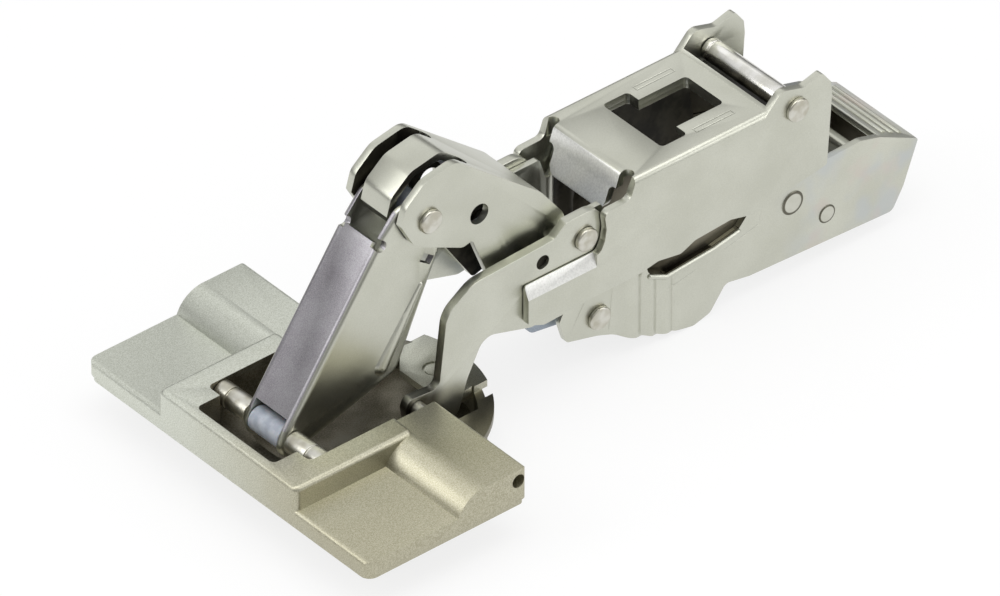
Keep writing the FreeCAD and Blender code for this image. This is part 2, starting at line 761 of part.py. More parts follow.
CHANNEL_SIDE = [(30.8, 0.9, 1.0), (29.6, 4.8, 1.2), (31.4, 8.2, 1.0), (29.8, 14.4, 1.5), (29.4, 20.2, 2.0),
                (32.0, 21.6, 1.5), (37.0, 21.6, 0.5), (38.2, 18.0, 0.5), (40.6, 18.0, 0.5),
                (42.6, channel_top, 0), (64.4, channel_top, 0.6), (66.0, 14.0, 1.0),
                (75.6, tail_top + 0.2, 0.8), (82.5, tail_top + 0.4, 2.0), (86.0, 10.4, 1.5),
                (tail_end, 6.9, 0.4), (tail_end - 2.6, 0.0, 0.6), (88.4, tail_low, 1.2),
                (62.5, -2.1, 2.0), (58.2, -1.3, 1.2), (55.4, -5.0, 1.5), (52.4, skirt_low, 1.5),
                (46.6, -4.6, 1.5), (36.4, -0.6, 1.5)]


def side_sheet_plan():
    """Plan of the near channel wall: set in at the front, set out and waved, then straight."""
    rear_y = -lever_outer
    waves = [(skirt_start, -channel_front_outer), (skirt_start + joggle_length, rear_y + 0.2),
             (42.3, rear_y), (43.6, rear_y + 0.45), (44.9, rear_y), (46.2, rear_y + 0.45),
             (47.5, rear_y), (48.8, rear_y + 0.3), (50.2, rear_y)]
    outer = wave_line(waves)
    inner = wave_line([(x, y + channel_sheet) for x, y in waves])
    front = V(28.0, -channel_front_outer, 0)
    rear = V(tail_end + 1, rear_y, 0)
    across = V(0, channel_sheet, 0)
    first = V(waves[0][0], waves[0][1], 0)
    last = V(waves[-1][0], waves[-1][1], 0)
    edges = [Part.makeLine(front, first), outer, Part.makeLine(last, rear),
             Part.makeLine(rear, rear + across), Part.makeLine(rear + across, last + across), inner,
             Part.makeLine(first + across, front + across), Part.makeLine(front + across, front)]
    face = Part.Face(Part.Wire(edges))
    face.translate(V(0, 0, -8))
    return face.extrude(V(0, 0, 40))


def wave_line(points):
    """Smooth plan line through the points, level at both ends."""
    curve = Part.BSplineCurve()
    level = V(1, 0, 0)
    curve.interpolate(Points=[V(x, y, 0) for x, y in points], InitialTangent=level, FinalTangent=level)
    return curve.toShape()


def channel_wall():
    wall = side_sheet_plan().common(slab(CHANNEL_SIDE, -arm_half, 0))
    opening = slab([(44.0, 8.6, 0.6), (44.4, 6.9, 1.0), (47.4, 5.3, 1.4), (55.8, 5.9, 2.0),
                    (60.4, 6.8, 1.0), (62.2, 8.8, 0.3), (60.0, 11.4, 0.8), (44.0, 11.4, 0.6)],
                   -arm_half, 0)
    wall = wall.cut(opening)
    return joined([wall, rolled_lip()])


def rolled_lip():
    """Rolled lower edge of the slot, standing proud of the skirt."""
    y = -lever_outer + 0.1
    line = [(44.6, 6.4), (47.4, 5.0), (55.8, 5.6), (60.4, 6.5)]
    radius = 0.42
    pieces = []
    for a, b in zip(line, line[1:]):
        span = V(b[0] - a[0], 0, b[1] - a[1])
        pieces.append(Part.makeCylinder(radius, span.Length, V(a[0], y, a[1]), span))
    for x, z in line:
        pieces.append(Part.makeSphere(radius, V(x, y, z)))
    return pieces[0].fuse(pieces[1:])


def inner_channel():
    near = channel_wall()
    inside = lever_outer - channel_sheet
    web = block(45.8, 64.0, -inside - 0.4, inside + 0.4, channel_top - channel_sheet, channel_top)
    window = arm_window(0.35)
    web = web.cut(window)
    flange = slab([(86.2, 10.3, 0.3), (tail_end, 6.9, 0.3), (tail_end - 0.5, 5.9, 0.3),
                   (85.8, 9.3, 0.3)], -inside - 0.4, inside + 0.4)
    body = joined([near, mirrored(near), web, flange] + flange_ridges())
    bores = [rod(arm_pivot, arm_rivet_radius, -arm_half, arm_half),
             rod(low_pivot, low_pin_radius, -arm_half, arm_half),
             rod(tail_pivot, tail_pin_radius, -arm_half, arm_half),
             rod(catch_pivot, catch_pin_radius, -arm_half, arm_half)]
    return body.cut(bores)


def flange_ridges():
    """Grip ridges across the tail's flange."""
    inside = lever_outer - channel_sheet - 0.6
    drop = (10.3 - 6.9) / (tail_end - 86.2)
    ridges = []
    for step in range(3):
        x = 87.9 + step * 1.5
        z = 10.3 - (x - 86.2) * drop
        ridges.append(rod((x, z - 0.1), 0.4, -inside, inside))
    return ridges


def tail_rivet():
    """Stepped cross pin of the tail, its ends flush in the channel's walls."""
    end = lever_outer + 0.12
    shank = rod(tail_pivot, tail_pin_radius - 0.6, -end, end)
    head = rod(tail_pivot, tail_pin_radius, -end, -lever_outer + channel_sheet + 0.5)
    head = soften(head, lambda e: e.Closed and e.CenterOfMass.y < -end + 0.01, 0.15)
    return joined([shank, head, mirrored(head)])


def catch_pin():
    end = lever_outer + 0.08
    return rod(catch_pivot, catch_pin_radius, -end, end)


CATCH_SIDE = [(73.2, 1.0, 1.8), (75.2, 4.9, 2.6), (79.4, 5.4, 2.0), (82.6, 8.9, 0.6), (84.2, 8.5, 0.6),
              (83.4, 4.2, 3.0), (79.8, 0.4, 2.4), (77.6, -2.6, 1.0), (71.2, -3.0, 0.5), (71.0, -1.4, 0.4),
              (73.4, -0.9, 0.8)]


def release_catch():
    """Sprung catch in the tail: hook below the pin, finger tab above it."""
    half = lever_outer - channel_sheet - 0.75
    body = slab(CATCH_SIDE, -half, half)
    hollow = block(70, 82.0, -half + 1.6, half - 1.6, -4.5, 12)
    body = body.cut(hollow)
    return body.cut(rod(catch_pivot, catch_pin_radius + run_gap, -half - 1, half + 1))


def roller_pin():
    reach = arm_half + head_height
    shank = rod(roller_pivot, roller_pin_radius, -reach, reach)
    head = rod(roller_pivot, rivet_head, -reach, -arm_half)
    head = soften(head, lambda e: e.Closed and e.CenterOfMass.y < -reach + 0.01, 0.3)
    return joined([shank, head, mirrored(head)])


def roller_sleeve():
    end = arm_half - arm_sheet - 0.15
    body = rod(roller_pivot, roller_radius, -end, end)
    body = soften(body, lambda e: e.Closed, 0.2)
    return body.cut(rod(roller_pivot, roller_pin_radius + run_gap, -end - 1, end + 1))


def build():
    save("door_plate", door_plate())
    save("front_cup_pin", front_pin())
    save("front_pin_collars", both(front_collar()))
    save("front_pin_bush", front_bush())
    save("rear_cup_pins", both(rear_pin()))
    save("box_lever", box_lever())
    save("top_pin", top_pin())
    save("top_pin_bush", top_bush())
    save("mid_lever", mid_lever())
    save("mid_lever_liner", mid_liner())
    save("near_l_lever", l_lever())
    save("far_l_lever", mirrored(l_lever()))
    save("crossing_pins", both(crossing_pin()))
    save("arm_front_rivets", both(arm_rivet()))
    save("inner_link", inner_link())
    save("inner_link_pin", link_pin())
    save("lower_arm_pin", low_pin())
    save("outer_arm", outer_arm())
    save("inner_channel", inner_channel())
    save("channel_rivets", tail_rivet())
    save("roller_pin", roller_pin())
    save("roller_sleeve", roller_sleeve())
    save("release_catch", release_catch())
    save("release_pin", catch_pin())
    save("release_spring", coil(catch_pivot, catch_pin_radius + spring_gap, 3.0))
    save("closing_spring", coil(low_pivot, low_pin_radius + spring_gap, 4.5))


build()
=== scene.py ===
import bpy
import json
import math
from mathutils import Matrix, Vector


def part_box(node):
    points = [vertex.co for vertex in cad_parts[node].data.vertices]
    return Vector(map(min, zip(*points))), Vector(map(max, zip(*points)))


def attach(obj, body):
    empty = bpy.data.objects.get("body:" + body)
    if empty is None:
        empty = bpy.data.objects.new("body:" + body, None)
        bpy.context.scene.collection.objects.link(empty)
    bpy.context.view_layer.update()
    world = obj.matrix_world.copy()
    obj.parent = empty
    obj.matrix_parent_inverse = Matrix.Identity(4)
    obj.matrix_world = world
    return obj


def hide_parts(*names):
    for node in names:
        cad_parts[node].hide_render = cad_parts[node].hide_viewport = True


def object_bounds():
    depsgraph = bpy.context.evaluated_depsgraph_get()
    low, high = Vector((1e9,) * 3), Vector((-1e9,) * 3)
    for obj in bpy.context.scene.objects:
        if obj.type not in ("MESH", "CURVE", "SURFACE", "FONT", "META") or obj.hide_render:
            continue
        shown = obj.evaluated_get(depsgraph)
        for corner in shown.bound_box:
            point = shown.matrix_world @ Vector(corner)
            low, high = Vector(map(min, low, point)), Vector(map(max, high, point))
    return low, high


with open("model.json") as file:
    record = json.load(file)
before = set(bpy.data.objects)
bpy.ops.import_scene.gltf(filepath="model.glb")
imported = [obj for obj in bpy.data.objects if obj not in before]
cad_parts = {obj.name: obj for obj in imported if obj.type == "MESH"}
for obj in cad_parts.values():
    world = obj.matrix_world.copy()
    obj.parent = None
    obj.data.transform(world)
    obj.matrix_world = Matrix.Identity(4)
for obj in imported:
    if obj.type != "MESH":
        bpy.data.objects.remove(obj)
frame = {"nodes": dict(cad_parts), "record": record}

cad_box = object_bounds()
mm = 0.001

# The photograph's view
view_azimuth = math.radians(-40.0)
view_elevation = math.radians(37.0)
view_target = Vector((31.2, 7.5, 0.0)) * mm
view_width = 137.0 * mm
view_distance = 3000.0 * mm
sensor_width = 36.0
nearest_seen = 10.0 * mm
farthest_seen = 10.0

# Edges, as radii, and the angles that tell an edge from a flat face
cast_edge = 0.3 * mm
sheet_edge = 0.16 * mm
curl_edge = 0.15 * mm
tail_edge = 0.12 * mm
pin_edge = 0.1 * mm
sleeve_edge = 0.07 * mm
lining_edge = 0.05 * mm
edge_angle = math.radians(28.0)
smooth_angle = math.radians(35.0)
flat_angle = math.radians(0.6)
merge_distance = 0.002 * mm

# Places on the hinge, in millimetres: pivots and line ends as (x, z)
tail_rivet = (70.2, 6.7)
catch_rivet = (76.5, 1.8)
coined_x, coined_y = 57.7, 6.3
coined_half_length, coined_half_width = 3.4, 0.45
drawn_lines = [((35.4, 8.4), (31.6, 2.0)), ((39.2, 7.6), (38.5, -0.6)), ((64.6, 8.6), (64.2, 6.0)),
               ((64.2, 6.0), (58.0, 4.6)), ((52.8, 3.6), (47.4, 2.6)), ((66.0, 9.2), (74.8, 10.6))]
drawn_line_width = 0.12

# Studio: shade of the surroundings from straight below to straight above, as (place, shade)
studio_shades = [(0.0, 0.6), (0.45, 0.4), (0.52, 0.10), (0.62, 0.22), (0.78, 0.75), (1.0, 0.9)]
floor_size = 6.0
floor_glow = 0.8

# A Mix node's colour sockets, by number because its sockets share their names
mix_first, mix_second, mix_result = 6, 7, 2


def picked(obj):
    """Only this object is selected and active."""
    bpy.ops.object.select_all(action="DESELECT")
    obj.select_set(True)
    bpy.context.view_layer.objects.active = obj
    return obj


def settled(obj):
    """The object's place goes into its mesh."""
    picked(obj)
    bpy.ops.object.transform_apply(location=True, rotation=True, scale=True)
    return obj


def smoothed(obj, width):
    """Its sharp edges are rounded, and its faces shaded smooth between them."""
    picked(obj)
    bevel = obj.modifiers.new("broken_edge", "BEVEL")
    bevel.width = width
    bevel.segments = 3
    bevel.limit_method = "ANGLE"
    bevel.angle_limit = edge_angle
    bevel.use_clamp_overlap = True
    bevel.loop_slide = True
    bpy.ops.object.modifier_apply(modifier=bevel.name)
    bpy.ops.object.shade_smooth_by_angle(angle=smooth_angle)
    return obj


class Field:
    """A node's output; arithmetic on it adds Math nodes."""

    def __init__(self, nodes, socket):
        self.nodes = nodes
        self.socket = socket

    def maths(self, operation, *others):
        return self.nodes.add("ShaderNodeMath", {"operation": operation}, [self, *others])

    def __add__(self, other):
        return self.maths("ADD", other)

    def __sub__(self, other):
        return self.maths("SUBTRACT", other)

    def __mul__(self, other):
        return self.maths("MULTIPLY", other)

    def __truediv__(self, other):
        return self.maths("DIVIDE", other)

    def __rsub__(self, other):
        return self.nodes.add("ShaderNodeMath", {"operation": "SUBTRACT"}, [other, self])

    __radd__ = __add__
    __rmul__ = __mul__

    def between(self, low, high):
        """0 below low, 1 above high, smooth between them."""
        smooth = {"interpolation_type": "SMOOTHSTEP"}
        return self.nodes.add("ShaderNodeMapRange", smooth, [self, low, high])


class Nodes:
    """A node tree; each call adds one node and gives its output."""

    def __init__(self, tree):
        self.tree = tree

    def add(self, kind, settings=None, inputs=None, output=0):
        node = self.tree.nodes.new(kind)
        for name, value in (settings or {}).items():
            if name == "stops":
                grey_stops(node.color_ramp, value)
            else:
                setattr(node, name, value)
        pairs = inputs.items() if isinstance(inputs, dict) else enumerate(inputs or [])
        for key, value in pairs:
            if isinstance(value, Field):
                self.tree.links.new(value.socket, node.inputs[key])
            else:
                node.inputs[key].default_value = value
        return Field(self, node.outputs[output])

    def surface(self, output_node, shader):
        """The shader is what the output node shows."""
        self.tree.links.new(shader.socket, self.tree.nodes[output_node].inputs["Surface"])


def grey_stops(ramp, stops):
    while len(ramp.elements) < len(stops):
        ramp.elements.new(0.5)
    for element, (place, shade) in zip(ramp.elements, stops):
        element.position = place
        element.color = (shade, shade, shade, 1.0)


class Finish(Nodes):
    """A surface finish, built from nodes around one Principled shader."""

    def __init__(self, name, colour, roughness, metallic=1.0):
        self.material = bpy.data.materials.new(name)
        self.material.use_nodes = True
        super().__init__(self.material.node_tree)
        self.shader = self.tree.nodes["Principled BSDF"]
        self.shader.inputs["Base Color"].default_value = (*colour, 1.0)
        self.shader.inputs["Roughness"].default_value = roughness
        self.shader.inputs["Metallic"].default_value = metallic

    def place(self):
        return self.add("ShaderNodeTexCoord", output="Object")

    def axis(self, name):
        """Place along one axis, in millimetres."""
        return self.add("ShaderNodeSeparateXYZ", None, [self.place()], output=name) / mm

    def noise(self, size, detail=2.0, roughness=0.5):
        """Noise whose patches are about size metres wide."""
        values = {"Vector": self.place(), "Scale": 1.0 / size, "Detail": detail, "Roughness": roughness}
        return self.add("ShaderNodeTexNoise", None, values)

    def mix(self, share, first, second):
        """Colour between two colours."""
        values = {"Factor": share}
        for socket, colour in ((mix_first, first), (mix_second, second)):
            values[socket] = (*colour, 1.0) if isinstance(colour, tuple) else colour
        return self.add("ShaderNodeMix", {"data_type": "RGBA"}, values, output=mix_result)

    def feed(self, name, field):
        self.tree.links.new(field.socket, self.shader.inputs[name])

    def fed(self, name):
        """What feeds one of the shader's sockets so far."""
        return Field(self, self.shader.inputs[name].links[0].from_socket)

    def bump(self, height, depth, strength=1.0):
        """Surface relief, depth in metres; a second call lies over the first."""
        values = {"Height": height, "Distance": depth, "Strength": strength}
        if self.shader.inputs["Normal"].is_linked:
            values["Normal"] = self.fed("Normal")
        self.feed("Normal", self.add("ShaderNodeBump", None, values))


# Finishes

def cast_nickel():
    """Door plate: nickel over a fine-grained casting, yellower at its near end, with painted shade on its
    round rim.
    """
    finish = Finish("cast_nickel", (0.60, 0.60, 0.53), 0.36)
    speckle = finish.noise(0.16 * mm, 3.0, 0.7)
    patches = finish.noise(7.0 * mm, 3.0)
    across = finish.axis("Y")
    warm = 1.0 - (across + patches * 14.0).between(-16.0, 24.0)
    grain = speckle.between(0.32, 0.68)
    clean = finish.mix(grain, (0.52, 0.54, 0.46), (0.76, 0.78, 0.71))
    yellow = finish.mix(grain, (0.32, 0.29, 0.19), (0.53, 0.50, 0.37))
    # Painted shade: the low sides of the round rim are painted near black.
    side = across.maths("ABSOLUTE").between(6.4, 7.2)
    rim = side * finish.axis("X").between(5.0, 6.5) * (1.0 - finish.axis("Z").between(1.2, 1.5))
    plate = finish.mix(warm * 0.85, clean, yellow)
    finish.feed("Base Color", finish.mix(rim * 0.75, plate, (0.10, 0.09, 0.06)))
    finish.feed("Roughness", 0.30 + speckle * 0.14 + patches * 0.08)
    finish.bump(speckle, 0.014 * mm, 0.55)
    finish.bump(patches, 0.05 * mm, 0.25)
    return finish.material


def well_painted_shade():
    """Inside of the well: nickel painted dark brown, as painted shade in the recess."""
    finish = Finish("well_painted_shade", (0.20, 0.18, 0.13), 0.45)
    speckle = finish.noise(0.2 * mm, 3.0, 0.7)
    patches = finish.noise(5.0 * mm, 3.0)
    shade = (speckle * 0.5 + patches * 0.5).between(0.35, 0.65)
    # Painted shade: the whole well is painted dark brown.
    finish.feed("Base Color", finish.mix(shade, (0.13, 0.115, 0.08), (0.34, 0.32, 0.26)))
    finish.feed("Roughness", 0.38 + speckle * 0.2)
    finish.bump(speckle, 0.015 * mm, 0.5)
    return finish.material


def sheet_nickel(name="sheet_nickel", dark=(0.52, 0.525, 0.45), light=(0.60, 0.605, 0.53), rough=0.24):
    """Pressed steel sheet with a satin, slightly wavy nickel plate; more may be added to it."""
    finish = Finish(name, light, rough)
    waves = finish.noise(4.0 * mm, 2.0)
    speckle = finish.noise(0.14 * mm, 2.0, 0.6)
    patches = finish.noise(9.0 * mm, 3.0)
    shade = (patches * 0.5 + speckle * 0.5).between(0.34, 0.66)
    finish.feed("Base Color", finish.mix(shade, dark, light))
    finish.feed("Roughness", rough + speckle * 0.1 + patches * 0.08)
    finish.bump(waves, 0.03 * mm, 0.35)
    finish.bump(speckle, 0.006 * mm, 0.4)
    return finish


def arm_sheet():
    """Arm: sheet with two shallow rectangles coined beside its window, and painted shade on its inner
    walls.
    """
    finish = sheet_nickel("arm_sheet")
    across = finish.axis("Y")
    along = finish.axis("X")
    up = finish.axis("Z")
    rim = 0.0
    for middle in (coined_y, -coined_y):
        side = (across - middle).maths("ABSOLUTE") - coined_half_width
        end = (along - coined_x).maths("ABSOLUTE") - coined_half_length
        edge = side.maths("MAXIMUM", end)
        rim = rim + edge.between(-0.16, -0.05) * (1.0 - edge.between(0.0, 0.1))
    finish.bump(1.0 - rim * up.between(24.9, 25.1), 0.05 * mm, 0.8)
    # Painted shade: inner walls under the web and behind the joggle are painted near black.
    roofed = (1.0 - along.between(63.0, 66.0)) * (1.0 - up.between(23.4, 24.2))
    covered = roofed.maths("MAXIMUM", 1.0 - up.between(17.5, 21.0)) * along.between(43.0, 45.0)
    inner = (1.0 - across.maths("ABSOLUTE").between(8.9, 9.1)) * covered
    finish.feed("Base Color", finish.mix(inner, finish.fed("Base Color"), (0.045, 0.04, 0.03)))
    return finish.material


def painted_highlight_satin():
    """Painted highlight on the arm's front lip and on the slopes over the side strips: a light, less
    metallic satin.
    """
    finish = Finish("painted_highlight_satin", (0.80, 0.78, 0.76), 0.3, 0.45)
    speckle = finish.noise(0.3 * mm, 3.0, 0.6)
    pits = finish.noise(0.9 * mm, 1.0)
    shade = speckle.between(0.3, 0.7)
    finish.feed("Base Color", finish.mix(shade, (0.69, 0.69, 0.66), (0.83, 0.83, 0.80)))
    finish.feed("Roughness", 0.26 + speckle * 0.14)
    finish.bump(pits.between(0.28, 0.33), 0.01 * mm, 0.4)
    return finish.material


def round_mark(finish, pivot, radius, width):
    """1 on a thin ring round a pin's axis, which runs along Y."""
    dx = finish.axis("X") - pivot[0]
    dz = finish.axis("Z") - pivot[1]
    away = ((dx * dx + dz * dz).maths("SQRT") - radius).maths("ABSOLUTE")
    return 1.0 - away.between(width * 0.4, width)


def ringed_steel():
    """Flush rivets of the tail, with a dark ring round each upset end."""
    finish = Finish("ringed_steel", (0.56, 0.56, 0.49), 0.26)
    wide = round_mark(finish, tail_rivet, 1.68, 0.3)
    narrow = round_mark(finish, catch_rivet, 1.36, 0.24)
    ring = wide.maths("MAXIMUM", narrow)
    tint = finish.noise(1.2 * mm, 2.0)
    clean = finish.mix(tint, (0.50, 0.50, 0.43), (0.62, 0.62, 0.55))
    finish.feed("Base Color", finish.mix(ring * 0.95, clean, (0.10, 0.095, 0.07)))
    finish.feed("Roughness", 0.24 + tint * 0.12)
    finish.bump(1.0 - ring, 0.03 * mm, 0.6)
    return finish.material


def crease(finish, a, b):
    """1 along a straight line between two places, given as (x, z) in millimetres."""
    span = math.hypot(b[0] - a[0], b[1] - a[1])
    ux, uz = (b[0] - a[0]) / span, (b[1] - a[1]) / span
    dx = finish.axis("X") - a[0]
    dz = finish.axis("Z") - a[1]
    along = dx * ux + dz * uz
    away = (dx * uz - dz * ux).maths("ABSOLUTE")
    ends = along.between(-0.1, 0.1) * (1.0 - along.between(span - 0.1, span + 0.1))
    return (1.0 - away.between(drawn_line_width * 0.3, drawn_line_width)) * ends


def channel_sheet():
    """Channel: sheet with bluish and pinkish patches on its tail, and faint drawn lines by the low rivet
    and the slot.
    """
    finish = sheet_nickel("channel_sheet")
    rear = finish.axis("X").between(66.0, 76.0)
    blue = finish.noise(7.0 * mm, 2.0).between(0.45, 0.65) * rear
    pink = finish.noise(5.0 * mm, 2.0).between(0.52, 0.7) * rear
    tinted = finish.mix(blue * 0.6, finish.fed("Base Color"), (0.50, 0.53, 0.55))
    finish.feed("Base Color", finish.mix(pink * 0.5, tinted, (0.60, 0.53, 0.48)))
    lines = crease(finish, *drawn_lines[0])
    for ends in drawn_lines[1:]:
        lines = lines.maths("MAXIMUM", crease(finish, *ends))
    finish.bump(1.0 - lines, 0.04 * mm, 0.7)
    return finish.material


def lever_sheet():
    """L levers: sheet, with painted shade round the pins at their toes."""
    finish = sheet_nickel("lever_sheet")
    # Painted shade: the toe is painted near black round its pins.
    toe_painted_shade = (1.0 - finish.axis("X").between(5.8, 8.6)) * (1.0 - finish.axis("Z").between(4.6, 8.0))
    finish.feed("Base Color", finish.mix(toe_painted_shade * 0.9, finish.fed("Base Color"), (0.035, 0.03, 0.02)))
    return finish.material


def painted_shade_sheet():
    """Inner faces of the folded pieces: dull, with painted shade in blotches."""
    finish = Finish("painted_shade_sheet", (0.07, 0.065, 0.05), 0.5)
    shade_blotches = finish.noise(3.0 * mm, 3.0)
    shade = shade_blotches.between(0.35, 0.65)
    # Painted shade: near black, a little lighter and darker in blotches.
    finish.feed("Base Color", finish.mix(shade, (0.018, 0.016, 0.012), (0.065, 0.06, 0.045)))
    finish.feed("Roughness", 0.4 + shade_blotches * 0.25)
    finish.bump(shade_blotches, 0.02 * mm, 0.4)
    return finish.material


def painted_shade_steel():
    """Linings behind the channel's slots: dull steel with painted shade, darker towards their front ends.
    """
    finish = Finish("painted_shade_steel", (0.16, 0.15, 0.11), 0.4)
    streaks = finish.noise(1.2 * mm, 3.0)
    along = finish.axis("X").between(44.0, 60.0)
    shade = (along * 0.7 + streaks * 0.4).between(0.0, 1.0)
    finish.feed("Base Color", finish.mix(shade, (0.035, 0.03, 0.018), (0.24, 0.22, 0.17)))
    finish.feed("Roughness", 0.32 + streaks * 0.2)
    finish.bump(streaks, 0.02 * mm, 0.4)
    return finish.material


def polished_steel():
    """Sleeve on the rear cross pin: ground bright, with fine scratches round it."""
    finish = Finish("polished_steel", (0.80, 0.79, 0.75), 0.2)
    wobble = finish.noise(0.5 * mm, 2.0)
    scratches = (finish.axis("Y") / 0.09 + wobble * 3.0).maths("SINE")
    tint = finish.noise(2.5 * mm, 2.0)
    finish.feed("Base Color", finish.mix(tint.between(0.3, 0.7), (0.70, 0.69, 0.63), (0.86, 0.85, 0.82)))
    finish.feed("Roughness", 0.18 + wobble * 0.1)
    finish.bump(scratches, 0.002 * mm, 0.25)
    return finish.material


def turned_steel():
    """Pins and rivets: satin, with faint turning lines across their axis."""
    finish = Finish("turned_steel", (0.58, 0.58, 0.52), 0.3)
    wobble = finish.noise(0.4 * mm, 2.0)
    lines = (finish.axis("Y") / 0.11 + wobble).maths("SINE")
    tint = finish.noise(1.5 * mm, 2.0)
    finish.feed("Base Color", finish.mix(tint.between(0.3, 0.7), (0.48, 0.46, 0.38), (0.64, 0.63, 0.57)))
    finish.feed("Roughness", 0.27 + wobble * 0.14)
    finish.bump(lines, 0.003 * mm, 0.3)
    finish.bump(wobble, 0.012 * mm, 0.3)
    return finish.material


def milky_plastic():
    """Bushes and liner: cool grey-white, a little translucent."""
    finish = Finish("milky_plastic", (0.40, 0.43, 0.49), 0.4, 0.0)
    cloud = finish.noise(1.2 * mm, 3.0)
    finish.feed("Base Color", finish.mix(cloud.between(0.3, 0.7), (0.33, 0.36, 0.42), (0.46, 0.49, 0.54)))
    finish.feed("Roughness", 0.35 + cloud * 0.2)
    finish.bump(cloud, 0.01 * mm, 0.4)
    finish.shader.inputs["Subsurface Weight"].default_value = 0.15
    finish.shader.inputs["Subsurface Scale"].default_value = 0.5 * mm
    return finish.material


def spring_wire():
    """Springs: dark drawn wire."""
    finish = Finish("spring_wire", (0.34, 0.34, 0.35), 0.32)
    streaks = finish.noise(0.5 * mm, 3.0)
    shade = streaks.between(0.3, 0.7)
    finish.feed("Base Color", finish.mix(shade, (0.22, 0.22, 0.23), (0.42, 0.42, 0.43)))
    finish.feed("Roughness", 0.25 + streaks * 0.2)
    finish.bump(streaks, 0.01 * mm, 0.4)
    return finish.material


def white_floor():
    """Floor that looks white to the camera and in reflections, and still takes a shadow."""
    finish = Finish("white_floor", (0.86, 0.86, 0.86), 0.9, 0.0)
    seen = 0.0
    for ray in ("Is Camera Ray", "Is Glossy Ray", "Is Transmission Ray"):
        seen = finish.add("ShaderNodeLightPath", output=ray).maths("MAXIMUM", seen)
    glow = finish.add("ShaderNodeEmission", None, [(1.0, 1.0, 1.0, 1.0), 1.0])
    matt = Field(finish, finish.shader.outputs[0])
    shown = finish.add("ShaderNodeMixShader", None, [seen * floor_glow, matt, glow])
    finish.surface("Material Output", shown)
    return finish.material


# Pieces carried over from the frame, with their edges broken

def broken_edges(node, width):
    """Copy of a node with merged faces and rounded edges; it stands for the node."""
    source = frame["nodes"][node]
    piece = bpy.data.objects.new(node + "_finished", source.data.copy())
    bpy.context.scene.collection.objects.link(piece)
    picked(piece)
    bpy.ops.object.mode_set(mode="EDIT")
    bpy.ops.mesh.select_all(action="SELECT")
    bpy.ops.mesh.remove_doubles(threshold=merge_distance)
    bpy.ops.mesh.dissolve_limited(angle_limit=flat_angle)
    bpy.ops.object.mode_set(mode="OBJECT")
    smoothed(piece, width)
    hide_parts(node)
    return piece


def second_finish(piece, material, test):
    """Faces whose centre, in millimetres, and normal pass the test take another finish."""
    piece.data.materials.append(material)
    last = len(piece.data.materials) - 1
    for face in piece.data.polygons:
        if test(face.center / mm, face.normal):
            face.material_index = last


def inside_fold(centre, normal, half, middle):
    """Nearer than half to the middle plane, and turned towards a place inside the fold."""
    inwards = Vector(middle) - centre
    inwards.y = -centre.y * 0.6
    return abs(centre.y) < half and normal.dot(inwards.normalized()) > 0.2


def inside_well(centre, normal):
    """Floor and walls of the well, without the level faces of the frame round it."""
    place = -21.95 < centre.x < 4.6 and abs(centre.y) < 11.0 and centre.z < 6.0
    return place and (abs(centre.z - 3.0) > 0.1 or abs(normal.z) < 0.5)


def box_front(centre, normal):
    """Front of the box lever's web, with the bends beside it, which take painted shade."""
    return normal.x < -0.55 and abs(normal.y) < 0.5 and centre.z > 6.6


def box_inside(centre, normal):
    """Inside of the box lever, below its ears."""
    return inside_fold(centre, normal, 3.4, (6.0, 0.0, 18.0)) and centre.z < 30.0


def mid_inside(centre, normal):
    """Inside of the mid lever."""
    return inside_fold(centre, normal, 4.85, (16.0, 0.0, 20.0))


def arm_inside(centre, normal):
    """Underside of the arm's web."""
    return normal.z < -0.5 and centre.z > 20.0 and centre.x > 42.0 and abs(centre.y) < 8.7


def arm_painted_highlight(centre, normal):
    """Outer face of the front lip, and the slopes over the side strips, which take a painted highlight.
    """
    lip = centre.x < 41.2 and abs(centre.y) < 7.2 and normal.x < -0.75
    slope = centre.x < 34.6 and 13.0 < centre.z < 16.2 and 0.25 < normal.z < 0.8 and abs(normal.y) > 0.5
    return lip or slope


def channel_inside(centre, normal):
    """Underside of the channel's web, and the inner faces of its walls behind the joggle."""
    roof = normal.z < -0.5 and centre.z > 20.0
    wall = 6.8 < abs(centre.y) < 8.3 and normal.y * centre.y < 0.0 and 40.5 < centre.x < 76.0
    return roof or wall


def tail_inside(centre, normal):
    """Face of the tail's back wall that looks into the tail."""
    return normal.x < -0.5


def body_named(node):
    for body, nodes in frame["record"]["behaviour"]["bodies"].items():
        if node in nodes:
            return body
    return None


def painted(obj, material):
    obj.data.materials.clear()
    obj.data.materials.append(material)
    return obj


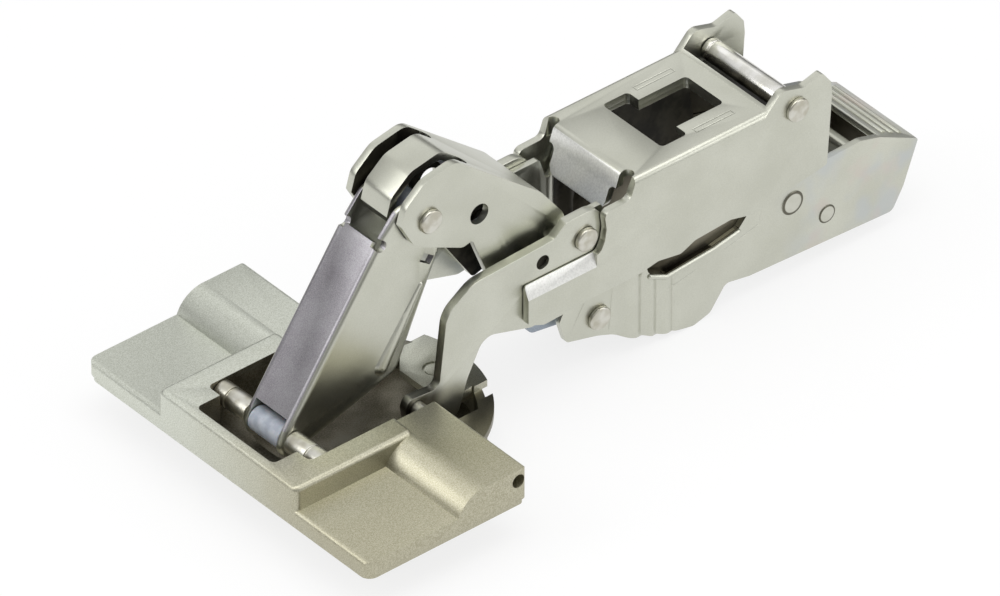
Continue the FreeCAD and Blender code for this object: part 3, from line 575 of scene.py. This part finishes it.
def dress_nodes(finishes):
    """Every node gets its finish and its edge and, on the faces that pass a test, another finish."""
    # The inner finish is painted shade inside folds, under webs and on the crossing pins, whose holes are
    # dark.
    plans = {
        "door_plate": ("cast", cast_edge, [("well", inside_well)]),
        "front_cup_pin": ("turned", pin_edge, []),
        "front_pin_collars": ("turned", pin_edge, []),
        "front_pin_bush": ("milky", pin_edge, []),
        "rear_cup_pins": ("turned", pin_edge, []),
        "box_lever": ("sheet", sheet_edge, [("dark", box_front), ("inner", box_inside)]),
        "top_pin": ("turned", pin_edge, []),
        "top_pin_bush": ("milky", pin_edge, []),
        "mid_lever": ("sheet", sheet_edge, [("inner", mid_inside)]),
        "mid_lever_liner": ("milky", pin_edge, []),
        "near_l_lever": ("lever", sheet_edge, []),
        "far_l_lever": ("lever", sheet_edge, []),
        "crossing_pins": ("inner", pin_edge, []),
        "arm_front_rivets": ("turned", pin_edge, []),
        "inner_link": ("link", sheet_edge, []),
        "inner_link_pin": ("turned", pin_edge, []),
        "lower_arm_pin": ("turned", pin_edge, []),
        "outer_arm": ("arm", sheet_edge, [("inner", arm_inside), ("bright", arm_painted_highlight)]),
        "inner_channel": ("channel", sheet_edge, [("inner", channel_inside)]),
        "channel_rivets": ("ringed", pin_edge, []),
        "roller_pin": ("turned", pin_edge, []),
        "release_catch": ("sheet", sheet_edge, []),
        "release_pin": ("ringed", pin_edge, []),
        "release_spring": ("wire", 0.0, []),
        "closing_spring": ("wire", 0.0, []),
    }
    for node, (finish, edge, others) in plans.items():
        if not edge:
            painted(frame["nodes"][node], finishes[finish])
            continue
        piece = broken_edges(node, edge)
        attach(piece, body_named(node))
        painted(piece, finishes[finish])
        for other, test in others:
            second_finish(piece, finishes[other], test)


# Pieces that the frame leaves out

def choose(obj, test):
    """Edit mode, with only the points whose place in millimetres passes the test selected."""
    picked(obj)
    bpy.ops.object.mode_set(mode="EDIT")
    bpy.ops.mesh.select_mode(type="VERT")
    bpy.ops.mesh.select_all(action="DESELECT")
    bpy.ops.object.mode_set(mode="OBJECT")
    for vertex in obj.data.vertices:
        vertex.select = test(vertex.co / mm)
    bpy.ops.object.mode_set(mode="EDIT")
    bpy.ops.mesh.select_mode(type="VERT")


def plate(name, low, high):
    """Block between two corners given in millimetres."""
    bpy.ops.object.select_all(action="DESELECT")
    middle = [(a + b) / 2 * mm for a, b in zip(low, high)]
    size = [(b - a) * mm for a, b in zip(low, high)]
    bpy.ops.mesh.primitive_cube_add(size=1.0, location=middle, scale=size)
    obj = bpy.context.object
    obj.name = name
    return settled(obj)


def drawn_out(step):
    """What is selected is extruded by a step in metres, and its new end stays selected."""
    bpy.ops.mesh.extrude_region_move(TRANSFORM_OT_translate={"value": step})


def finished(obj, edge, node):
    """Edges broken; it rides with a CAD node's body."""
    smoothed(obj, edge)
    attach(obj, body_named(node))
    return obj


def slot_lining(side):
    """Thin strip behind the slot in the channel's wall, seated on the wall's inner face."""
    name = "near_slot_lining" if side < 0 else "far_slot_lining"
    lining = plate(name, (43.0, side * 7.44 - 0.08, 4.6), (63.6, side * 7.44 + 0.08, 11.4))
    choose(lining, lambda at: at.x > 63.0 and at.z < 5.0)
    bpy.ops.transform.translate(value=(0.0, 0.0, 0.85 * mm))
    bpy.ops.object.mode_set(mode="OBJECT")
    return finished(lining, lining_edge, "inner_channel")


def tail_back():
    """Back wall of the boxed tail, folded down under the flange between the side walls."""
    back = plate("tail_back", (91.5, -7.5, -1.6), (92.3, 7.5, 6.0))
    choose(back, lambda at: at.z < 0.0)
    bpy.ops.transform.translate(value=(-2.2 * mm, 0.0, 0.0))
    bpy.ops.object.mode_set(mode="OBJECT")
    return finished(back, tail_edge, "inner_channel")


def web_curl():
    """Rear edge of the arm's web, curled down and under the sleeve of the cross pin."""
    curl = plate("web_curl", (64.5, -8.4, 24.35), (65.4, 8.4, 25.25))
    choose(curl, lambda at: at.x > 65.0)
    for along, up in ((1.0, -1.0), (1.2, -1.4), (1.0, -0.85), (1.1, -0.25)):
        drawn_out((along * mm, 0.0, up * mm))
    bpy.ops.object.mode_set(mode="OBJECT")
    return finished(curl, curl_edge, "outer_arm")


def cross_sleeve():
    """Bright sleeve on the rear cross pin, with a groove and a collar at each end."""
    low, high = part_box("roller_sleeve")
    end = high[1]
    radius, step, groove, collar = 1.68 * mm, 0.22 * mm, 0.22 * mm, 0.9 * mm
    shoulder = end - groove - collar
    wider = radius / (radius - step)
    bpy.ops.object.select_all(action="DESELECT")
    bpy.ops.mesh.primitive_cylinder_add(vertices=64, radius=radius, depth=2.0 * shoulder,
                                        location=((low[0] + high[0]) / 2, 0.0, (low[2] + high[2]) / 2),
                                        rotation=(math.pi / 2, 0.0, 0.0))
    sleeve = bpy.context.object
    sleeve.name = "cross_sleeve"
    settled(sleeve)
    for way in (-1.0, 1.0):
        choose(sleeve, lambda at: at.y * way * mm > shoulder - 0.01 * mm)
        bpy.ops.mesh.inset(thickness=step)
        drawn_out((0.0, way * groove, 0.0))
        drawn_out((0.0, 0.0, 0.0))
        bpy.ops.transform.resize(value=(wider, 1.0, wider))
        drawn_out((0.0, way * collar, 0.0))
        bpy.ops.object.mode_set(mode="OBJECT")
    finished(sleeve, sleeve_edge, "roller_sleeve")
    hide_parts("roller_sleeve")
    return sleeve


# Camera, lights, floor

def towards(azimuth, elevation):
    """Direction from the view's target to a camera or lamp; azimuth 0 is the near side, -Y."""
    level = math.cos(elevation)
    return Vector((math.sin(azimuth) * level, -math.cos(azimuth) * level, math.sin(elevation)))


def camera():
    """Level, distant view from the photograph's side."""
    data = bpy.data.cameras.new("photo_camera")
    seat = bpy.data.objects.new("photo_camera", data)
    bpy.context.scene.collection.objects.link(seat)
    back = towards(view_azimuth, view_elevation)
    seat.location = view_target + back * view_distance
    seat.rotation_euler = back.to_track_quat("Z", "Y").to_euler()
    data.sensor_width = sensor_width
    data.lens = sensor_width * view_distance / view_width
    data.clip_start = nearest_seen
    data.clip_end = farthest_seen
    bpy.context.scene.camera = seat


def softbox(name, azimuth, elevation, distance, width, height, power):
    """Rectangular lamp that faces the view's target from an angle in degrees."""
    data = bpy.data.lights.new(name, "AREA")
    data.shape = "RECTANGLE"
    data.size = width
    data.size_y = height
    data.energy = power
    lamp = bpy.data.objects.new(name, data)
    bpy.context.scene.collection.objects.link(lamp)
    away = towards(math.radians(azimuth), math.radians(elevation))
    lamp.location = view_target + away * distance
    lamp.rotation_euler = away.to_track_quat("Z", "Y").to_euler()


def lights():
    """Large soft lamps above, left, right and behind."""
    softbox("top_box", -20, 80, 0.55, 0.50, 0.30, 1.1)
    softbox("left_box", -110, 35, 0.60, 0.25, 0.40, 0.8)
    softbox("right_box", 38, 18, 0.60, 0.30, 0.45, 0.9)
    softbox("back_box", 160, 40, 0.60, 0.40, 0.20, 0.1)


def studio():
    """White to the camera, and to the object a dark horizon between a lit floor and a lit ceiling."""
    world = bpy.data.worlds.new("studio")
    bpy.context.scene.world = world
    world.use_nodes = True
    nodes = Nodes(world.node_tree)
    direction = nodes.add("ShaderNodeTexCoord", output="Generated")
    height = nodes.add("ShaderNodeSeparateXYZ", None, [direction], output="Z") * 0.5 + 0.5
    shade = nodes.add("ShaderNodeValToRGB", {"stops": studio_shades}, [height])
    around = nodes.add("ShaderNodeBackground", None, {"Color": shade})
    white = nodes.add("ShaderNodeBackground", None, {"Color": (1.0, 1.0, 1.0, 1.0)})
    seen = nodes.add("ShaderNodeLightPath", output="Is Camera Ray")
    nodes.surface("World Output", nodes.add("ShaderNodeMixShader", None, [seen, around, white]))


def floor():
    """Level floor under the object's lowest point."""
    bpy.ops.object.select_all(action="DESELECT")
    bpy.ops.mesh.primitive_plane_add(size=floor_size, location=(0.0, 0.0, cad_box[0][2]))
    plane = bpy.context.object
    plane.name = "floor"
    painted(settled(plane), white_floor())


def finishes_made():
    """Each finish under the short name that the pieces use."""
    # Painted shade: the box lever's front web takes the sheet's plating, darker and purple-grey.
    dark_sheet = sheet_nickel("dark_sheet", (0.26, 0.245, 0.265), (0.46, 0.45, 0.47), 0.3)
    link_sheet = sheet_nickel("link_finish", (0.16, 0.19, 0.23), (0.34, 0.38, 0.43), 0.28)
    return {
        "cast": cast_nickel(),
        "well": well_painted_shade(),
        "sheet": sheet_nickel().material,
        "channel": channel_sheet(),
        "lever": lever_sheet(),
        "arm": arm_sheet(),
        "bright": painted_highlight_satin(),
        "dark": dark_sheet.material,
        "link": link_sheet.material,
        "inner": painted_shade_sheet(),
        "lining": painted_shade_steel(),
        "turned": turned_steel(),
        "polished": polished_steel(),
        "ringed": ringed_steel(),
        "milky": milky_plastic(),
        "wire": spring_wire(),
    }


def build():
    finishes = finishes_made()
    dress_nodes(finishes)
    # Painted shade: the slot linings and the inside of the tail's back wall are painted dark brown.
    for side in (-1.0, 1.0):
        painted(slot_lining(side), finishes["lining"])
    back = painted(tail_back(), finishes["channel"])
    second_finish(back, finishes["lining"], tail_inside)
    # Painted shade: the curl under the sleeve is painted near black.
    painted(web_curl(), finishes["inner"])
    painted(cross_sleeve(), finishes["polished"])
    camera()
    lights()
    studio()
    floor()
    bpy.context.scene.view_settings.view_transform = "Standard"


build()
